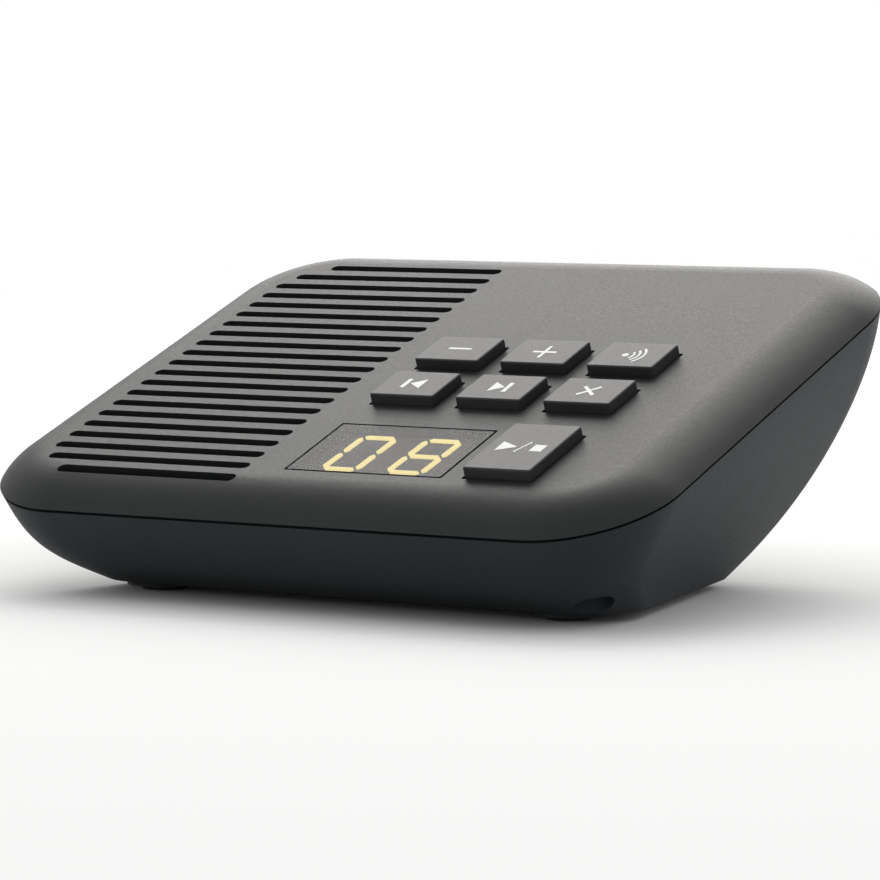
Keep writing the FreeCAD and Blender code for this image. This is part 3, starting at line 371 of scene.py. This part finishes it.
def dress_nodes():
    """Every node of the part gets its finish."""
    board, paper, rubber = solder_resist(), cone_paper(), soft_rubber()
    steel = bare_metal("zinc_plate", (0.6, 0.6, 0.62), roughness=0.32)
    tin = bare_metal("tin_plate", (0.68, 0.68, 0.66), roughness=0.3, turn=(0, 0, 0.8))
    socket = smooth_plastic("socket_plastic", (0.02, 0.02, 0.021), roughness=0.42)
    pale = smooth_plastic("plunger_plastic", (0.7, 0.68, 0.62), roughness=0.4)
    dark = smooth_plastic("switch_plastic", (0.02, 0.02, 0.02), roughness=0.4)
    wanted = {
        "display_window": window_lens(), "digit_segments": lit_segments(), "switch_bodies": dark,
        "key_board": board, "main_board": board,
        "chips": smooth_plastic("chip_resin", (0.015, 0.015, 0.016), roughness=0.6),
        "capacitors": bare_metal("can_aluminium", (0.72, 0.72, 0.74), roughness=0.28),
        "antennas": tin, "radio_shield": tin, "ribbon_cable": flat_cable(),
        "board_screws": bare_metal("black_zinc", (0.03, 0.03, 0.031), roughness=0.45),
        "main_board_screws": steel, "housing_screws": steel, "grille_cloth": woven_cloth(),
        "speaker_gasket": open_foam(), "speaker_cone": paper, "dust_cap": paper,
        "speaker_frame": smooth_plastic("basket_lacquer", (0.08, 0.08, 0.085), roughness=0.45),
        "voice_coil": wound_copper(), "speaker_magnet": ferrite(),
        "speaker_retainer": smooth_plastic("inner_plastic", (0.05, 0.05, 0.052), roughness=0.5),
        "line_socket": socket, "power_socket": socket,
    }
    wanted.update(outer_plastics())
    wanted.update({foot: rubber for foot in FEET})
    wanted.update({"plunger_" + key: pale for key in KEY_PLACES})
    for name, node in NODES.items():
        node.data.materials.clear()
        node.data.materials.append(wanted[name])


# Pictograms: thin white print on the key tops, drawn in millimetres about each key's centre
def bar(x0, y0, x1, y1, wide=STROKE):
    along = Vector((x1 - x0, y1 - y0)).normalized()
    side = Vector((-along.y, along.x)) * (wide / 2)
    start, end = Vector((x0, y0)), Vector((x1, y1))
    return [start - side, end - side, end + side, start + side]


def round_points(x, y, radius, turns):
    return [Vector((x + radius * math.cos(turn), y + radius * math.sin(turn))) for turn in turns]


def disc(x, y, radius):
    return round_points(x, y, radius, [2 * math.pi * step / DISC_STEPS for step in range(DISC_STEPS)])


def arc(x, y, radius, half_angle, wide):
    """A band bowed towards +X, its two ends square."""
    turns = [math.radians(half_angle) * (2 * step / ARC_STEPS - 1) for step in range(ARC_STEPS + 1)]
    outer = round_points(x, y, radius + wide / 2, turns)
    return outer + round_points(x, y, radius - wide / 2, turns[::-1])


def triangle(x0, x1, middle, half):
    points = [Vector((x0, middle - half)), Vector((x1, middle)), Vector((x0, middle + half))]
    return points if x1 > x0 else points[::-1]


def rectangle(x0, x1, y0, y1):
    return [Vector((x0, y0)), Vector((x1, y0)), Vector((x1, y1)), Vector((x0, y1))]


def paging_sign():
    """A dot with three waves going out from it."""
    x, y, dot, half_angle = -1.15, -0.3, 0.62, 46
    waves = [arc(x, y, radius, half_angle, FINE_STROKE) for radius in (1.6, 2.6, 3.6)]
    return [disc(x, y, dot)] + waves


PICTOGRAMS = {
    "minus": [bar(-2.05, -0.15, 2.6, -0.15)],
    "plus": [bar(-2.15, -0.25, 2.55, -0.25), bar(0.2, -2.6, 0.2, 2.1)],
    "paging": paging_sign(),
    "previous": [bar(-1.65, -1.85, -1.65, 1.6, POST), triangle(1.8, -0.8, -0.1, 1.8)],
    "next": [triangle(-1.75, 0.85, -0.1, 1.8), bar(1.45, -1.95, 1.45, 1.65, POST)],
    "delete": [bar(-1.55, -1.75, 1.65, 1.45), bar(-1.55, 1.45, 1.65, -1.75)],
    "play_stop": [triangle(-4.25, -0.75, -0.2, 1.7), bar(-0.45, -2.1, 1.0, 1.75, SLASH),
                  rectangle(2.15, 4.4, -1.6, 0.85)],
}


def mesh_object(name, mesh, body, material):
    piece = bpy.data.objects.new(name, mesh)
    bpy.context.scene.collection.objects.link(piece)
    mesh.materials.append(material)
    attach(piece, body)


def add_plate(work, outline, place, low, high):
    """A closed flat plate over this outline, between two heights."""
    rings = []
    for height in (low, high):
        points = [place @ (Vector((point.x, point.y, height)) * MM) for point in outline]
        rings.append([work.verts.new(point) for point in points])
    under, over = rings
    work.faces.new(over)
    work.faces.new(under[::-1])
    count = len(outline)
    for index in range(count):
        after = (index + 1) % count
        work.faces.new((under[index], under[after], over[after], over[index]))


def pictogram(key, outlines, material):
    """One key's print, each outline a little higher than the last so that none share a face."""
    column, row = KEY_PLACES[key]
    place = DECK @ Matrix.Translation(Vector((column, row, 0)) * MM)
    work = bmesh.new()
    for number, outline in enumerate(outlines):
        top = KEY_TOP + PRINT_THICK + PRINT_STEP * number
        add_plate(work, outline, place, KEY_TOP - PRINT_SUNK, top)
    mesh = bpy.data.meshes.new("print_" + key)
    work.to_mesh(mesh)
    work.free()
    mesh_object("print_" + key, mesh, "key_" + key, material)


# Studio
def floor_finish():
    """White floor that keeps the object's shadow and, for camera, gloss and transmission rays, adds a
    painted contact shade from ambient occlusion; it runs to pure white far off and is clear from below.
    """
    finish = Finish("floor_white", FLOOR_COLOUR, roughness=0.9, specular=0.0)
    # Painted contact shade: an emission whose colour darkens by ambient occlusion close to the object
    painted_contact_shade = finish.add("ShaderNodeAmbientOcclusion")
    painted_contact_shade.inputs["Distance"].default_value = PAINTED_SHADE_REACH
    painted_shade_glow = finish.add("ShaderNodeEmission")
    finish.link(painted_contact_shade.outputs["Color"], painted_shade_glow.inputs["Color"])
    away = finish.add("ShaderNodeVectorMath", operation="LENGTH")
    finish.link(finish.place, away.inputs[0])
    far = finish.spread(away.outputs["Value"], low=PAINTED_SHADE_SHARE, high=1.0, start=WHITE_FROM, end=WHITE_TO)
    share = finish.combine(finish.white_and_painted_shade_rays(), far)
    # Camera, gloss and transmission rays see the painted contact shade mixed over the lit floor
    lit = finish.mixed(share, finish.shader.outputs[0], painted_shade_glow.outputs[0])
    side = finish.add("ShaderNodeNewGeometry")
    clear = finish.add("ShaderNodeBsdfTransparent")
    shown = finish.mixed(side.outputs["Backfacing"], lit, clear.outputs[0])
    finish.link(shown, finish.tree.nodes["Material Output"].inputs["Surface"])
    return finish.material


def floor():
    work = bmesh.new()
    bmesh.ops.create_grid(work, x_segments=1, y_segments=1, size=FLOOR_SIZE)
    mesh = bpy.data.meshes.new("floor")
    work.to_mesh(mesh)
    work.free()
    mesh.materials.append(floor_finish())
    piece = bpy.data.objects.new("floor", mesh)
    piece.location.z = -FLOOR_DROP
    bpy.context.scene.collection.objects.link(piece)


def surroundings():
    """White to the camera, to gloss and through glass, and a plain level for diffuse light."""
    world = bpy.data.worlds.new("studio")
    bpy.context.scene.world = world
    world.use_nodes = True
    graph = Graph(world.node_tree)
    bright = graph.tree.nodes["Background"]
    bright.inputs["Color"].default_value = WHITE
    ambient = graph.add("ShaderNodeBackground")
    ambient.inputs["Color"].default_value = WHITE
    ambient.inputs["Strength"].default_value = AMBIENT
    shown = graph.mixed(graph.white_and_painted_shade_rays(), ambient.outputs[0], bright.outputs[0])
    graph.link(shown, graph.tree.nodes["World Output"].inputs["Surface"])


def lamp():
    data = bpy.data.lights.new("back_light", "AREA")
    data.shape = "DISK"
    data.size = LAMP_SIZE
    data.energy = LAMP_POWER
    data.color = LAMP_COLOUR
    source = bpy.data.objects.new("back_light", data)
    bpy.context.scene.collection.objects.link(source)
    source.location = LAMP_PLACE
    aim = Vector(LAMP_TARGET) - Vector(LAMP_PLACE)
    source.rotation_euler = aim.to_track_quat("-Z", "Y").to_euler()


def camera():
    data = bpy.data.cameras.new("camera")
    data.lens = CAMERA_LENS
    data.sensor_width = CAMERA_SENSOR
    data.clip_start, data.clip_end = CAMERA_NEAR, CAMERA_FAR
    viewer = bpy.data.objects.new("camera", data)
    bpy.context.scene.collection.objects.link(viewer)
    viewer.location = CAMERA_PLACE
    viewer.rotation_euler = (math.radians(CAMERA_PITCH), 0, math.radians(CAMERA_HEADING))
    bpy.context.scene.camera = viewer


dress_nodes()
ink = print_ink()
for key_name, shapes in PICTOGRAMS.items():
    pictogram(key_name, shapes, ink)
floor()
surroundings()
lamp()
camera()
bpy.context.scene.view_settings.view_transform = "Standard"
